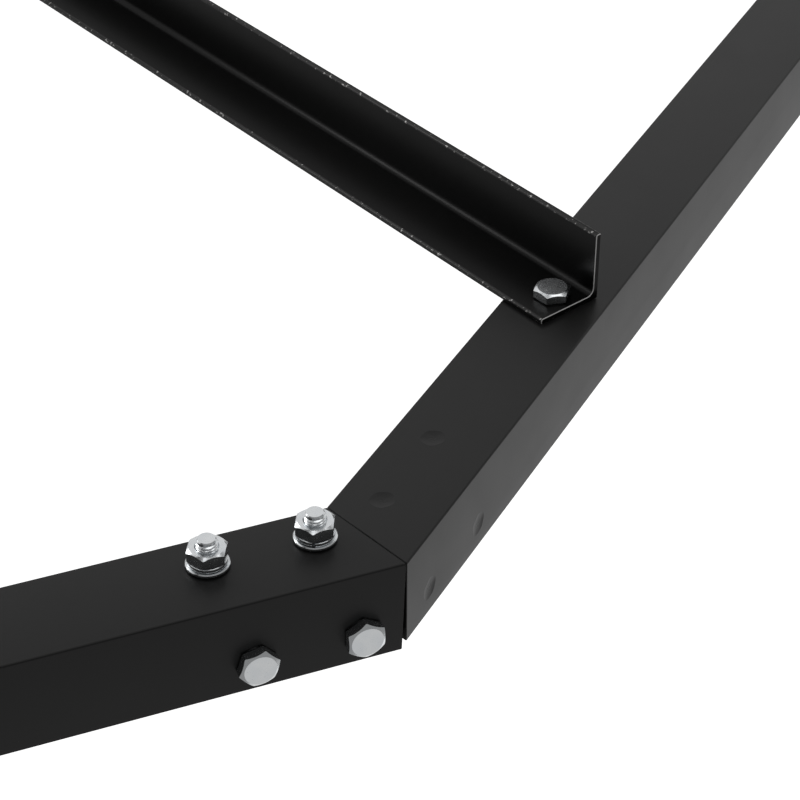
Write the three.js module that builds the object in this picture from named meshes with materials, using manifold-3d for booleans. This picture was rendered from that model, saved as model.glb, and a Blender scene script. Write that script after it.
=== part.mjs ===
// Over-cab ladder rack for a pickup or trailer: two mirrored side frames of square steel tube,
// three crossbars that carry the load, ladder stops, angle-iron struts and the bolts between them.
//
// Millimetres, +X forward over the cab, +Y to the left, +Z up. The origin is the centre of the
// bottom of the whole rack's box, on the faces of the base rails that lie on the bed.

import * as THREE from 'three';
import { mergeVertices } from 'three/addons/utils/BufferGeometryUtils.js';
import Module from 'manifold-3d';

const wasm = await Module();
wasm.setup();

// ---- Driving dimensions ----

const GAP = 0.3;                 // left between pieces that touch
const TUBE = 50;                 // square rail, post, base rail and crossbar tube
const WALL = 2.5;
const CORNER = 1;                // outside corner radius of the tubes
const INNER_CORNER = 0.6;
const KICKER_DEPTH = 46;         // the kicker leg is shallower sideways than the rail
const OVERALL_HEIGHT = 770;      // from the bed to the top of the rails
const FRAME_SPACING = 1450;      // between the inboard faces of the side frames

const RAIL_LENGTH = 2060;        // from the mitred corner to the open front end
const CAP_THICKNESS = 3;
const CAP_PLUG = 22;
const BASE_REAR = -866;          // base rail ends, from the mitred corner
const BASE_FRONT = 1130;

const DROP = THREE.MathUtils.degToRad(41.5);       // kicker leg below the horizontal
const MITRE = (Math.PI - DROP) / 2;               // mitre line from either tube's outer edge
const MITRE_OPENING = 1.8;       // the seam is tight inboard and this much wider outboard

const PLATE = 6;                 // foot and top plates
const POST_X = 1050;
const POST_PLATE = 150;
const PLATE_BOLT_IN = 15;        // bolt to the end of a post's plate
const DRAIN = 6;                 // radius of the drain hole in a post's plates
const FOOT_FROM = -860;          // kicker foot plate
const FOOT_TO = -676;
const KICKER_FOOT_BOLT_X = -703;

const ANGLE_LEG = 38.5;          // angle iron, both legs
const ANGLE_WALL = 3;
const ANGLE_FILLET = 4;
const STRUT_LEAN = THREE.MathUtils.degToRad(18.1);  // strut off the vertical
const STRUT_AT = 227.4;          // along the kicker's outer edge to the strut's heel
const STRUT_SETBACK = 8.2;       // cut end inside the kicker's outer edge
const STRUT_LENGTH = 635;
const BOLT_FROM_END = 12.5;      // angle iron's bolts
const BOLT_FROM_HEEL = 20;
const KNEE_LEAN = THREE.MathUtils.degToRad(45);
const KNEE_REACH = 280;          // from post centre line to the knee brace's upper bolt
const KNEE_RAIL_DROP = 25;       // knee brace's upper bolt under the rail's top

const CROSSBAR_LENGTH = 1650;
const MIDDLE_BAR = POST_X - POST_PLATE / 2 + PLATE_BOLT_IN;  // its bolts also hold the posts' plates
const POST_BOLT_X = POST_X + POST_PLATE / 2 - PLATE_BOLT_IN;
const CROSSBARS = { rear: 300, middle: MIDDLE_BAR, front: 2000 };
const STOP_WIDTH = 40;
const STOP_HEIGHT = 110;
const STOP_BASE = 90;
const STOP_THICKNESS = 6;
const STOP_BEND = 6;
const STOP_BOLT = 25;            // bolt to the inner end of the stop's base

const SLEEVE = 40.4;             // joint sleeve's sides
const SLEEVE_WALL = 3;
const SLEEVE_ARM = 116;
const SIDE_BOLTS = [31.3, 81.3];     // bolts through the side of the joint, along the rail
const SIDE_BOLT_DOWN = 30.8;
const TOP_BOLTS = [20.6, 70.6];  // bolts into the top of the joint, along the rail
const TOP_BOLT_IN = 34.5;        // from the inboard face
const SIDE_WELDS = [35, 87];     // plug welds on the kicker's inboard face
const SIDE_WELD_DOWN = 30;
const TOP_WELDS = [23.5, 75];    // plug welds on the kicker's outer face
const TOP_WELD_IN = 32;
const WELD_DIAMETER = 10;
const WELD_DISH = 0.8;

const M10 = {
  shank: 5, hole: 5.6, head: 5.6, nut: 6.2, flats: 17, flatWasher: 10, flatThickness: 1.8,
  springWasher: 9, springThickness: 2.4, springSlot: 2, bore: 5.4, proud: 4.3,
};
const WELD_NUT_BITE = 0.5;       // how far the sleeve's nuts are sunk into its wall
const TOP_BOLT_REACH = 6;        // top bolt's end below its nut
const SIDES = 10;                // sides of a round bar or hole
const PAST = 9;                  // how far a cut runs past a face

// ---- Materials ----

const blackPaint = new THREE.MeshStandardMaterial({ color: 0x1b1b1c, roughness: 0.45, metalness: 0.1 });
const zinc = new THREE.MeshStandardMaterial({ color: 0xb9bdc0, roughness: 0.28, metalness: 1 });
const plateSteel = new THREE.MeshStandardMaterial({ color: 0x8d8f90, roughness: 0.5, metalness: 1 });
const capPlastic = new THREE.MeshStandardMaterial({ color: 0x111112, roughness: 0.6, metalness: 0 });

// ---- Solids ----

function solid(geometry) {
  geometry.deleteAttribute('normal');
  geometry.deleteAttribute('uv');
  const merged = mergeVertices(geometry, 1e-4);
  return new wasm.Manifold(new wasm.Mesh({
    numProp: 3,
    vertProperties: new Float32Array(merged.attributes.position.array),
    triVerts: new Uint32Array(merged.index.array),
  }));
}

function geometryOf(body) {
  const mesh = body.getMesh();
  const geometry = new THREE.BufferGeometry();
  geometry.setAttribute('position', new THREE.BufferAttribute(mesh.vertProperties, mesh.numProp));
  geometry.setIndex(new THREE.BufferAttribute(mesh.triVerts, 1));
  geometry.computeVertexNormals();
  return geometry;
}

// A box between two corners.
function block(x0, x1, y0, y1, z0, z1) {
  const box = new THREE.BoxGeometry(x1 - x0, y1 - y0, z1 - z0);
  return solid(box.translate((x0 + x1) / 2, (y0 + y1) / 2, (z0 + z1) / 2));
}

// An outline of [x, z] points, swept sideways from y0 to y1.
function plateOf(outline, y0, y1) {
  const shape = new THREE.Shape(outline.map(([x, z]) => new THREE.Vector2(x, z)));
  const geometry = new THREE.ExtrudeGeometry(shape, { depth: y1 - y0, bevelEnabled: false });
  return solid(geometry.rotateX(Math.PI / 2).translate(0, y1, 0));
}

function roundedOutline(width, height, radius) {
  const shape = new THREE.Shape();
  shape.moveTo(radius, 0);
  shape.lineTo(width - radius, 0);
  shape.absarc(width - radius, radius, radius, -Math.PI / 2, 0);
  shape.lineTo(width, height - radius);
  shape.absarc(width - radius, height - radius, radius, 0, Math.PI / 2);
  shape.lineTo(radius, height);
  shape.absarc(radius, height - radius, radius, Math.PI / 2, Math.PI);
  shape.lineTo(0, radius);
  shape.absarc(radius, radius, radius, Math.PI, Math.PI * 1.5);
  return shape;
}

// A bar of the given section along +X: y from 0 to depth, z from -width up to 0.
function bar(depth, width, radius, x0, x1) {
  const geometry = new THREE.ExtrudeGeometry(roundedOutline(depth, width, radius),
    { depth: x1 - x0, bevelEnabled: false, curveSegments: 2 });
  const along = new THREE.Matrix4().makeBasis(
    new THREE.Vector3(0, 1, 0), new THREE.Vector3(0, 0, 1), new THREE.Vector3(1, 0, 0));
  return solid(geometry.applyMatrix4(along).translate(x0, 0, -width));
}

// The same bar hollowed out from end to end.
function tube(depth, width, wall, radius, x0, x1) {
  const inner = bar(depth - 2 * wall, width - 2 * wall, INNER_CORNER, x0 - 1, x1 + 1);
  return bar(depth, width, radius, x0, x1).subtract(inner.translate([0, wall, -wall]));
}

function cylinder(radius, length, sides = SIDES) {
  return solid(new THREE.CylinderGeometry(radius, radius, length, sides));
}

// A round bar along Y through (x, z).
function pinAcross(radius, x, z, y0, y1) {
  return cylinder(radius, y1 - y0).translate([x, (y0 + y1) / 2, z]);
}

// A round bar along Z through (x, y).
function pinUp(radius, x, y, z0, z1) {
  return cylinder(radius, z1 - z0).rotate([90, 0, 0]).translate([x, y, (z0 + z1) / 2]);
}

// Turns a body made along +X so that it runs down the kicker leg: outer face up, inboard at y = 0.
function alongKicker(body) {
  return body.mirror([1, 0, 0]).rotate([0, -THREE.MathUtils.radToDeg(DROP), 0]);
}

// ---- Fasteners: made along +Y, with the head's seat at y = 0 and the shank towards -Y ----

function hexagon(flats, height) {
  return cylinder(flats / Math.sqrt(3), height, 6);
}

function boltBody(length) {
  const head = hexagon(M10.flats, M10.head).translate([0, M10.head / 2, 0]);
  const rounded = solid(new THREE.CylinderGeometry(M10.flats / 2, M10.flats / 2 + M10.head, M10.head, SIDES));
  const shank = cylinder(M10.shank, length + 1).translate([0, (1 - length) / 2, 0]);
  return head.intersect(rounded.translate([0, M10.head / 2, 0])).add(shank);
}

function ring(outer, bore, thickness) {
  return cylinder(outer, thickness).subtract(cylinder(bore, thickness + 2));
}

function flatWasher() {
  return ring(M10.flatWasher, M10.bore, M10.flatThickness).translate([0, -M10.flatThickness / 2, 0]);
}

function springWasher() {
  const slot = block(0, M10.springWasher * 2, -M10.springThickness, M10.springThickness,
    -M10.springSlot / 2, M10.springSlot / 2).rotate([0, 45, 0]);
  return ring(M10.springWasher, M10.bore, M10.springThickness)
    .subtract(slot).translate([0, -M10.springThickness / 2, 0]);
}

function nutBody(bore = M10.bore) {
  return hexagon(M10.flats, M10.nut).subtract(cylinder(bore, M10.nut + 2)).translate([0, -M10.nut / 2, 0]);
}

// Where each piece of the stack under the nut starts, measured from the head's seat.
function stackUnder(grip) {
  const flat = grip + GAP;
  const spring = flat + M10.flatThickness + GAP;
  const nut = spring + M10.springThickness + GAP;
  return { flat, spring, nut, end: nut + M10.nut + M10.proud };
}

// A tightened bolt, washers and nut joined as one body.
function boltSet(grip) {
  const stack = stackUnder(grip);
  const washers = ring(M10.flatWasher, M10.shank - 1, M10.flatThickness)
    .translate([0, -stack.flat - M10.flatThickness / 2, 0]);
  const spring = ring(M10.springWasher, M10.shank - 1, M10.springThickness + 3 * GAP)
    .translate([0, -stack.spring - M10.springThickness / 2, 0]);
  const nut = nutBody(M10.shank - 1).translate([0, -stack.nut, 0]);
  return boltBody(stack.end).add(washers).add(spring).add(nut);
}

// Seats a fastener made along Y: the head faces dir, and its seat is at the given place.
const SEATS = {
  outboard: [0, 0, 0],
  inboard: [180, 0, 0],
  up: [90, 0, 0],
};

function seat(body, facing, x, y, z) {
  return body.rotate(SEATS[facing]).translate([x, y, z]);
}

// ---- Side frame, drawn from its mitred corner: inboard face at y = 0, outboard towards +y ----

const BED = -OVERALL_HEIGHT;
const BASE_TOP = BED + TUBE;

function kickerPoint(along, down) {
  return [
    -along * Math.cos(DROP) + down * Math.sin(DROP),
    -along * Math.sin(DROP) - down * Math.cos(DROP),
  ];
}

// A hole straight through a side frame from side to side.
function crossHole(x, z) {
  return pinAcross(M10.hole, x, z, -PAST, TUBE + PAST);
}

function topRail() {
  const straight = tube(TUBE, TUBE, WALL, CORNER, -TUBE, RAIL_LENGTH);
  let body = straight.subtract(behindMitre(0, MITRE_OPENING));
  for (const x of SIDE_BOLTS) {
    body = body.subtract(crossHole(x, -SIDE_BOLT_DOWN));
  }
  for (const x of TOP_BOLTS) {
    body = body.subtract(pinUp(M10.hole, x, TOP_BOLT_IN, -TUBE / 2, PAST));
  }
  for (const x of Object.values(CROSSBARS)) {
    body = body.subtract(pinUp(M10.hole, x, TUBE / 2, -TUBE - PAST, PAST));
  }
  return body
    .subtract(pinUp(M10.hole, POST_BOLT_X, TUBE / 2, -TUBE - PAST, -TUBE / 2))
    .subtract(crossHole(POST_X + KNEE_REACH, -KNEE_RAIL_DROP));
}

// Everything behind the mitre plane, moved forward by the seam and opening towards the outboard wall.
function behindMitre(seam, opening) {
  const far = TUBE * 2;
  const slope = far / Math.tan(MITRE);
  const outline = [[seam - slope, far], [seam + slope, -far], [-TUBE * 4, -far], [-TUBE * 4, far]];
  return plateOf(outline, -TUBE, far)
    .rotate([0, 0, -THREE.MathUtils.radToDeg(Math.atan(opening / TUBE))]);
}

function plugWelds(body) {
  for (const along of SIDE_WELDS) {
    body = body.subtract(pinAcross(WELD_DIAMETER / 2, along, -SIDE_WELD_DOWN, -5, WELD_DISH));
  }
  for (const along of TOP_WELDS) {
    body = body.subtract(pinUp(WELD_DIAMETER / 2, along, TOP_WELD_IN, -WELD_DISH, 5));
  }
  return body;
}

function kickerLeg() {
  const reach = OVERALL_HEIGHT / Math.sin(DROP) + TUBE * 2;
  const mitred = tube(KICKER_DEPTH, TUBE, WALL, CORNER, -TUBE, reach)
    .subtract(behindMitre(GAP / Math.sin(MITRE), 0));
  const straight = plugWelds(mitred);
  const [strutX, strutZ] = strutBolt(BOLT_FROM_END);
  const leg = alongKicker(straight)
    .intersect(block(-reach, TUBE, -TUBE, TUBE * 2, BASE_TOP + GAP + PLATE - 1, TUBE))
    .subtract(crossHole(strutX, strutZ));
  const foot = block(FOOT_FROM, FOOT_TO, 0, TUBE, BASE_TOP + GAP, BASE_TOP + GAP + PLATE)
    .subtract(pinUp(M10.hole, KICKER_FOOT_BOLT_X, TUBE / 2, BASE_TOP - PAST, BASE_TOP + PAST));
  return leg.add(foot);
}

// One arm of the joint sleeve, as its outside and its hollow; turn lays it along its tube.
function sleeveArm(turn) {
  const hollow = SLEEVE - 2 * SLEEVE_WALL;
  const outer = bar(SLEEVE, SLEEVE, CORNER, -TUBE, SLEEVE_ARM);
  const inner = bar(hollow, hollow, INNER_CORNER, -TUBE - 1, SLEEVE_ARM + 1);
  const drop = (TUBE - SLEEVE) / 2;
  const place = (body, inset) => {
    const placed = body.translate([0, WALL + GAP + inset, -drop - inset]);
    return turn(placed.subtract(behindMitre(-0.01, 0)));
  };
  return { outer: place(outer, 0), inner: place(inner, SLEEVE_WALL) };
}

function jointSleeve() {
  const rail = sleeveArm((body) => body);
  const kicker = sleeveArm(alongKicker);
  let body = rail.outer.add(kicker.outer).subtract(rail.inner.add(kicker.inner));
  const wallUnder = -(TUBE - SLEEVE) / 2 - SLEEVE_WALL;
  const nutMiddle = wallUnder - M10.nut / 2 + WELD_NUT_BITE;
  for (const x of TOP_BOLTS) {
    const weldNut = seat(hexagon(M10.flats, M10.nut), 'up', x, TOP_BOLT_IN, nutMiddle);
    const bore = pinUp(M10.bore, x, TOP_BOLT_IN, wallUnder - M10.nut - 1, PAST);
    body = body.add(weldNut).subtract(bore);
  }
  for (const x of SIDE_BOLTS) {
    body = body.subtract(crossHole(x, -SIDE_BOLT_DOWN));
  }
  return body;
}

function baseRail() {
  let body = tube(TUBE, TUBE, WALL, CORNER, BASE_REAR, BASE_FRONT).translate([0, 0, BASE_TOP]);
  const [strutX, strutZ] = strutBolt(STRUT_LENGTH - BOLT_FROM_END);
  body = body.subtract(crossHole(strutX, strutZ));
  for (const x of [KICKER_FOOT_BOLT_X, POST_BOLT_X]) {
    body = body.subtract(pinUp(M10.hole, x, TUBE / 2, BASE_TOP - TUBE / 2, BASE_TOP + PAST));
  }
  return body;
}

function frontPost() {
  const low = BASE_TOP + GAP;
  const high = -TUBE - GAP;
  const inner = TUBE - 2 * WALL;
  const left = POST_X - TUBE / 2;
  const post = block(left, left + TUBE, 0, TUBE, low + PLATE - 1, high - PLATE + 1)
    .subtract(block(left + WALL, left + WALL + inner, WALL, WALL + inner, low, high));
  const plate = (z) => block(POST_X - POST_PLATE / 2, POST_X + POST_PLATE / 2, 0, TUBE, z, z + PLATE)
    .subtract(pinUp(M10.hole, POST_BOLT_X, TUBE / 2, z - 1, z + PLATE + 1))
    .subtract(pinUp(DRAIN, POST_X, TUBE / 2, z - 1, z + PLATE + 1));
  const kneeZ = -KNEE_RAIL_DROP - KNEE_REACH;
  const topPlate = plate(high - PLATE)
    .subtract(pinUp(M10.hole, MIDDLE_BAR, TUBE / 2, high - PLATE - 1, high + 1));
  return post.add(plate(low)).add(topPlate)
    .subtract(crossHole(POST_X, kneeZ));
}

// ---- Angle iron: heel along +X at z = 0, flat leg up to +z at y = 0, standing leg towards -y ----

function angleIron(length) {
  const shape = new THREE.Shape();
  shape.moveTo(0, 0);
  shape.lineTo(ANGLE_LEG, 0);
  shape.lineTo(ANGLE_LEG, ANGLE_WALL);
  const centre = ANGLE_WALL + ANGLE_FILLET;
  shape.lineTo(centre, ANGLE_WALL);
  shape.absarc(centre, centre, ANGLE_FILLET, -Math.PI / 2, Math.PI, true);
  shape.lineTo(ANGLE_WALL, ANGLE_LEG);
  shape.lineTo(0, ANGLE_LEG);
  const geometry = new THREE.ExtrudeGeometry(shape, { depth: length, bevelEnabled: false, curveSegments: 4 });
  // Drawn x is the flat leg (+z here), drawn y the standing leg (-y here), drawn depth the length (+x).
  const along = new THREE.Matrix4().makeBasis(
    new THREE.Vector3(0, 0, 1), new THREE.Vector3(0, -1, 0), new THREE.Vector3(1, 0, 0));
  const body = solid(geometry.applyMatrix4(along));
  let drilled = body;
  for (const x of [BOLT_FROM_END, length - BOLT_FROM_END]) {
    drilled = drilled.subtract(pinAcross(M10.hole, x, BOLT_FROM_HEEL, -ANGLE_WALL - 1, PAST));
  }
  return drilled.translate([0, -GAP, 0]);
}

// A point on the strut: how far from its upper end, on the line of its bolts.
function strutBolt(along) {
  const [heelX, heelZ] = kickerPoint(STRUT_AT, 0);
  const t = STRUT_SETBACK + along;
  return [
    heelX + t * Math.sin(STRUT_LEAN) + BOLT_FROM_HEEL * Math.cos(STRUT_LEAN),
    heelZ - t * Math.cos(STRUT_LEAN) + BOLT_FROM_HEEL * Math.sin(STRUT_LEAN),
  ];
}

function cornerStrut() {
  const [heelX, heelZ] = kickerPoint(STRUT_AT, 0);
  const turn = 90 - THREE.MathUtils.radToDeg(STRUT_LEAN);
  return angleIron(STRUT_LENGTH).translate([STRUT_SETBACK, 0, 0])
    .rotate([0, turn, 0]).translate([heelX, 0, heelZ]);
}

const KNEE_LENGTH = KNEE_REACH / Math.sin(KNEE_LEAN) + 2 * BOLT_FROM_END;

function kneeBrace() {
  return angleIron(KNEE_LENGTH).translate([-BOLT_FROM_END, 0, -BOLT_FROM_HEEL])
    .rotate([0, -THREE.MathUtils.radToDeg(KNEE_LEAN), 0])
    .translate([POST_X, 0, -KNEE_RAIL_DROP - KNEE_REACH]);
}

function railCap() {
  const inner = TUBE - 2 * WALL - 2 * GAP;
  const plug = bar(inner, inner, INNER_CORNER, RAIL_LENGTH - CAP_PLUG, RAIL_LENGTH + GAP + 1)
    .translate([0, WALL + GAP, -WALL - GAP]);
  return plug.add(bar(TUBE, TUBE, CORNER, RAIL_LENGTH + GAP, RAIL_LENGTH + GAP + CAP_THICKNESS));
}

// ---- Crossbars and ladder stops ----

function crossbar() {
  let body = tube(TUBE, TUBE, WALL, CORNER, -CROSSBAR_LENGTH / 2, CROSSBAR_LENGTH / 2)
    .translate([0, -TUBE / 2, 0]).rotate([0, 0, 90]);
  for (const side of [-1, 1]) {
    const y = side * (FRAME_SPACING + TUBE) / 2;
    body = body.subtract(pinUp(M10.hole, 0, y, -TUBE - PAST, PAST));
  }
  return body;
}

// A bent flat bar: its base lies on the crossbar from y = 0, and its upright stands at the outer end.
function ladderStop() {
  const bend = STOP_BEND + STOP_THICKNESS;
  const inner = STOP_BASE - STOP_THICKNESS;
  const shape = new THREE.Shape();
  shape.moveTo(0, 0);
  shape.lineTo(STOP_BASE - bend, 0);
  shape.absarc(STOP_BASE - bend, bend, bend, -Math.PI / 2, 0);
  shape.lineTo(STOP_BASE, STOP_HEIGHT);
  shape.lineTo(inner, STOP_HEIGHT);
  shape.lineTo(inner, bend);
  shape.absarc(STOP_BASE - bend, bend, STOP_BEND, 0, -Math.PI / 2, true);
  shape.lineTo(0, STOP_THICKNESS);
  const depth = STOP_WIDTH;
  const geometry = new THREE.ExtrudeGeometry(shape, { depth, bevelEnabled: false, curveSegments: 6 });
  // Drawn x is outboard (+y here), drawn y up (+z here), drawn depth forward (+x here).
  const along = new THREE.Matrix4().makeBasis(
    new THREE.Vector3(0, 1, 0), new THREE.Vector3(0, 0, 1), new THREE.Vector3(1, 0, 0));
  return solid(geometry.applyMatrix4(along))
    .subtract(pinUp(M10.hole, STOP_WIDTH / 2, STOP_BOLT, -PAST, STOP_THICKNESS + PAST))
    .translate([-STOP_WIDTH / 2, TUBE / 2 - STOP_BOLT, 0]);
}

// ---- Assembly ----

const rack = new THREE.Group();
const cornerX = -(RAIL_LENGTH + GAP + CAP_THICKNESS + BASE_REAR) / 2;

function add(group, name, body, material) {
  const mesh = new THREE.Mesh(geometryOf(body), material);
  mesh.name = name;
  group.add(mesh);
}

function addSideBolts(group, side, split) {
  const grip = TUBE + GAP;
  const stack = stackUnder(grip + GAP);
  SIDE_BOLTS.forEach((x, index) => {
    const at = (body) => seat(body, 'outboard', x, TUBE + GAP, -SIDE_BOLT_DOWN);
    const number = `${index + 1}_${side}`;
    if (!split) {
      add(group, `joint_side_bolt_set_${number}`, at(boltSet(grip + GAP)), zinc);
      return;
    }
    add(group, `joint_side_bolt_${number}`, at(boltBody(stack.end)), zinc);
    add(group, `joint_flat_washer_${number}`, at(flatWasher().translate([0, -stack.flat, 0])), zinc);
    add(group, `joint_spring_washer_${number}`, at(springWasher().translate([0, -stack.spring, 0])), zinc);
    add(group, `joint_nut_${number}`, at(nutBody().translate([0, -stack.nut, 0])), zinc);
  });
}

function addAngleBolt(group, name, x, z, depth) {
  const grip = ANGLE_WALL + depth + 2 * GAP;
  add(group, name, seat(boltSet(grip), 'inboard', x, -ANGLE_WALL - 2 * GAP, z), zinc);
}

function addPlateBolt(group, name, x, z, down) {
  add(group, name, seat(boltSet(down), 'up', x, TUBE / 2, z), zinc);
}

function addFrame(side, mirrored, split) {
  const group = new THREE.Group();
  group.position.set(cornerX, (mirrored ? -1 : 1) * FRAME_SPACING / 2, OVERALL_HEIGHT);
  group.scale.y = mirrored ? -1 : 1;
  rack.add(group);

  add(group, `top_rail_${side}`, topRail(), blackPaint);
  add(group, `rail_end_cap_${side}`, railCap(), capPlastic);
  add(group, `kicker_leg_${side}`, kickerLeg(), blackPaint);
  add(group, `joint_sleeve_${side}`, jointSleeve(), plateSteel);
  add(group, `base_rail_${side}`, baseRail(), blackPaint);
  add(group, `front_post_${side}`, frontPost(), blackPaint);
  add(group, `corner_strut_${side}`, cornerStrut(), blackPaint);
  add(group, `knee_brace_${side}`, kneeBrace(), blackPaint);

  addSideBolts(group, side, split);
  TOP_BOLTS.forEach((x, index) => {
    const body = seat(boltBody(WALL + GAP + M10.nut + TOP_BOLT_REACH), 'up', x, TOP_BOLT_IN, GAP);
    add(group, `joint_top_bolt_${index + 1}_${side}`, body, zinc);
  });

  addAngleBolt(group, `strut_upper_bolt_set_${side}`, ...strutBolt(BOLT_FROM_END), KICKER_DEPTH);
  addAngleBolt(group, `strut_lower_bolt_set_${side}`, ...strutBolt(STRUT_LENGTH - BOLT_FROM_END), TUBE);
  addAngleBolt(group, `knee_lower_bolt_set_${side}`, POST_X, -KNEE_RAIL_DROP - KNEE_REACH, TUBE);
  addAngleBolt(group, `knee_upper_bolt_set_${side}`, POST_X + KNEE_REACH, -KNEE_RAIL_DROP, TUBE);

  const grip = PLATE + WALL + 2 * GAP;
  const plateTop = BASE_TOP + PLATE + 2 * GAP;
  addPlateBolt(group, `kicker_foot_bolt_set_${side}`, KICKER_FOOT_BOLT_X, plateTop, grip);
  addPlateBolt(group, `post_foot_bolt_set_${side}`, POST_BOLT_X, plateTop, grip);
  addPlateBolt(group, `post_top_bolt_set_${side}`, POST_BOLT_X, -TUBE + WALL + GAP, grip + GAP);
}

function addCrossbar(name, x) {
  const group = new THREE.Group();
  group.position.set(cornerX + x, 0, OVERALL_HEIGHT + GAP + TUBE);
  rack.add(group);
  add(group, `crossbar_${name}`, crossbar(), blackPaint);
  for (const [side, sign] of [['left', 1], ['right', -1]]) {
    const end = new THREE.Group();
    end.position.set(0, sign * (FRAME_SPACING + TUBE) / 2 - sign * TUBE / 2, GAP);
    end.scale.y = sign;
    group.add(end);
    add(end, `ladder_stop_${name}_${side}`, ladderStop(), blackPaint);
    const grip = STOP_THICKNESS + 2 * TUBE + 4 * GAP + (x === MIDDLE_BAR ? PLATE + GAP : 0);
    const bolt = seat(boltSet(grip), 'up', 0, TUBE / 2, STOP_THICKNESS + GAP);
    add(end, `crossbar_bolt_set_${name}_${side}`, bolt, zinc);
  }
}

addFrame('left', false, true);
addFrame('right', true, false);
for (const [name, x] of Object.entries(CROSSBARS)) addCrossbar(name, x);

export default rack;
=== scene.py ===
"""Looks of the over-cab ladder rack: powder-coated square tube, angle-iron struts and zinc bolts."""
import math
import random

import bmesh
import bpy
from mathutils import Matrix, Vector


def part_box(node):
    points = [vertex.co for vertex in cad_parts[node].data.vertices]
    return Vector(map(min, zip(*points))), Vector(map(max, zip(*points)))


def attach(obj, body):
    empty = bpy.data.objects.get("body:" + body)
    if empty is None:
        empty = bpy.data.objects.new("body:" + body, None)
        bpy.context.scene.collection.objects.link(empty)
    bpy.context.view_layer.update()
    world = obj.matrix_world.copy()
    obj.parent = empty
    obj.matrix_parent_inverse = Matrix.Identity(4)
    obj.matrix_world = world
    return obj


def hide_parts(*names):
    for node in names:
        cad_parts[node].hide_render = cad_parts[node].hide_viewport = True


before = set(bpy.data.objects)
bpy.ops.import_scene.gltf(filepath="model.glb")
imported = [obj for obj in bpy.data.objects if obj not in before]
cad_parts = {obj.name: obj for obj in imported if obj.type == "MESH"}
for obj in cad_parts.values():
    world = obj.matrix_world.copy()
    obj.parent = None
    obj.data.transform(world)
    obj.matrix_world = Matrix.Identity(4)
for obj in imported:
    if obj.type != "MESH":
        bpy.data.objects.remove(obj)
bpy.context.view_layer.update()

random.seed(7)

MM = 0.001
ROOT = "root"
SIDES = {"left": 1, "right": -1}

# ---- Sizes in millimetres ----

GAP = 0.3
TUBE = 50
WALL = 2.5
CORNER = 1.0                     # outside corner radius
INNER_CORNER = 0.8               # inside corner radius
KICKER_DEPTH = 46
EDGE = 0.35                      # broken edge of a cut tube
DROP = math.radians(41.5)        # kicker leg below the horizontal
MITRE = (math.pi - DROP) / 2
MITRE_OPENING = 1.8              # extra seam at the outboard wall
PLATE = 6                        # thickness of the foot and top plates
PLATE_CORNER = 4
PLATE_EDGE = 0.6                 # broken edge of a plate
POST_X = 1050                    # middle of the front post, forward of the joint
POST_PLATE = 150
PLATE_BOLT_IN = 15
FOOT_FROM = -860                 # ends of the kicker leg's foot plate
FOOT_TO = -676
KICKER_FOOT_BOLT_X = -703
KICKER_REAR_BOLT_X = -842
BASE_REAR = -866
BASE_FRONT = 1130
CAP = 3                          # how far an end cap stands out
CAP_STEP = 0.6                   # height of the steps in its face
CAP_CORNER = 2.5
CAP_SKIRT = 18                   # how far its skirt reaches into the tube, before its chamfer
CAP_LEAD = 2

ANGLE_LEG = 38.5
ANGLE_WALL = 3
ANGLE_FILLET = 4
ANGLE_TOE = 1.3                  # rounding of a leg's free edge
ANGLE_HEEL = 0.6                 # rounding of its outer corners
ANGLE_END = 0.35                 # broken edge of the sawn end
TOE_WEAR_AND_GLINT = 0.6                   # wear and painted highlight along its long edges, where 1 is bare
STRUT_LEAN = math.radians(18.1)  # from upright
STRUT_AT = 227.4                 # along the kicker leg
STRUT_SETBACK = 8.2              # from the leg's upper edge to the strut's end, along the strut
STRUT_LENGTH = 635
BOLT_FROM_END = 12.5
BOLT_FROM_HEEL = 20
KNEE_LEAN = math.radians(45)
KNEE_REACH = 280
KNEE_RAIL_DROP = 25
KNEE_LENGTH = KNEE_REACH / math.sin(KNEE_LEAN) + 2 * BOLT_FROM_END

SIDE_BOLTS = (31.3, 81.3)
SIDE_BOLT_DOWN = 30.8
TOP_BOLTS = (20.6, 70.6)
TOP_BOLT_IN = 34.5
SIDE_WELDS = (35, 87)
SIDE_WELD_DOWN = 30
TOP_WELDS = (23.5, 75)
TOP_WELD_IN = 32
WELD_RADIUS = 5.8                # of a plug weld's bowl
WELD_DEPTH = 0.55
WELD_RINGS = 16
WELD_STEPS = 40
WELD_LUMP = 0.05                 # height of the lumps in the bowl
WELD_LUMP_REACH = 3.6

CROSSBARS = {"rear": 300, "middle": POST_X - POST_PLATE / 2 + PLATE_BOLT_IN, "front": 2000}
STOP_WIDTH = 40
STOP_HEIGHT = 110
STOP_BASE = 90
STOP_THICKNESS = 6
STOP_BEND = 6                    # inside radius of its bend
STOP_NOSE = 1.5                  # rounding of its ends
STOP_EDGE = 0.8

SHANK = 5
FLATS = 17
HEAD = 5.6
NUT = 6.2
CHAMFER = 0.7                    # fall of a hexagon's chamfer for its width
CRISP = 16                       # fastener edges sharper than this, in degrees, stay crisp
LAND = 1.4                       # half of a hexagon's corner land, in degrees
BOLT_FACE = FLATS / 2 * 0.91     # radius where a head's chamfer starts
NUT_FACE = FLATS / 2 * 0.95
NUT_SEAT = FLATS / 2 * 1.08      # the same on the side that a nut is tightened against
FACE_BREAK = 0.05                # fall from the face to the start of its chamfer
PITCH = 1.5
THREAD_DEPTH = 0.75
THREAD_RINGS = 4.4               # rings for each millimetre of thread
THREAD_RUN_IN = 6                # rings over which the thread deepens
THREAD_TIP = 1.5                 # plain end beyond the thread
CLEARANCE = 0.4                  # of a washer's hole round the shank
FLAT_WASHER = 10                 # outside radius
FLAT_THICKNESS = 1.8
FLAT_RIM = 0.4
SPRING_WASHER = 9                # outside radius
SPRING_THICKNESS = 2.4
SPRING_OPENING = math.radians(9)
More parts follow.
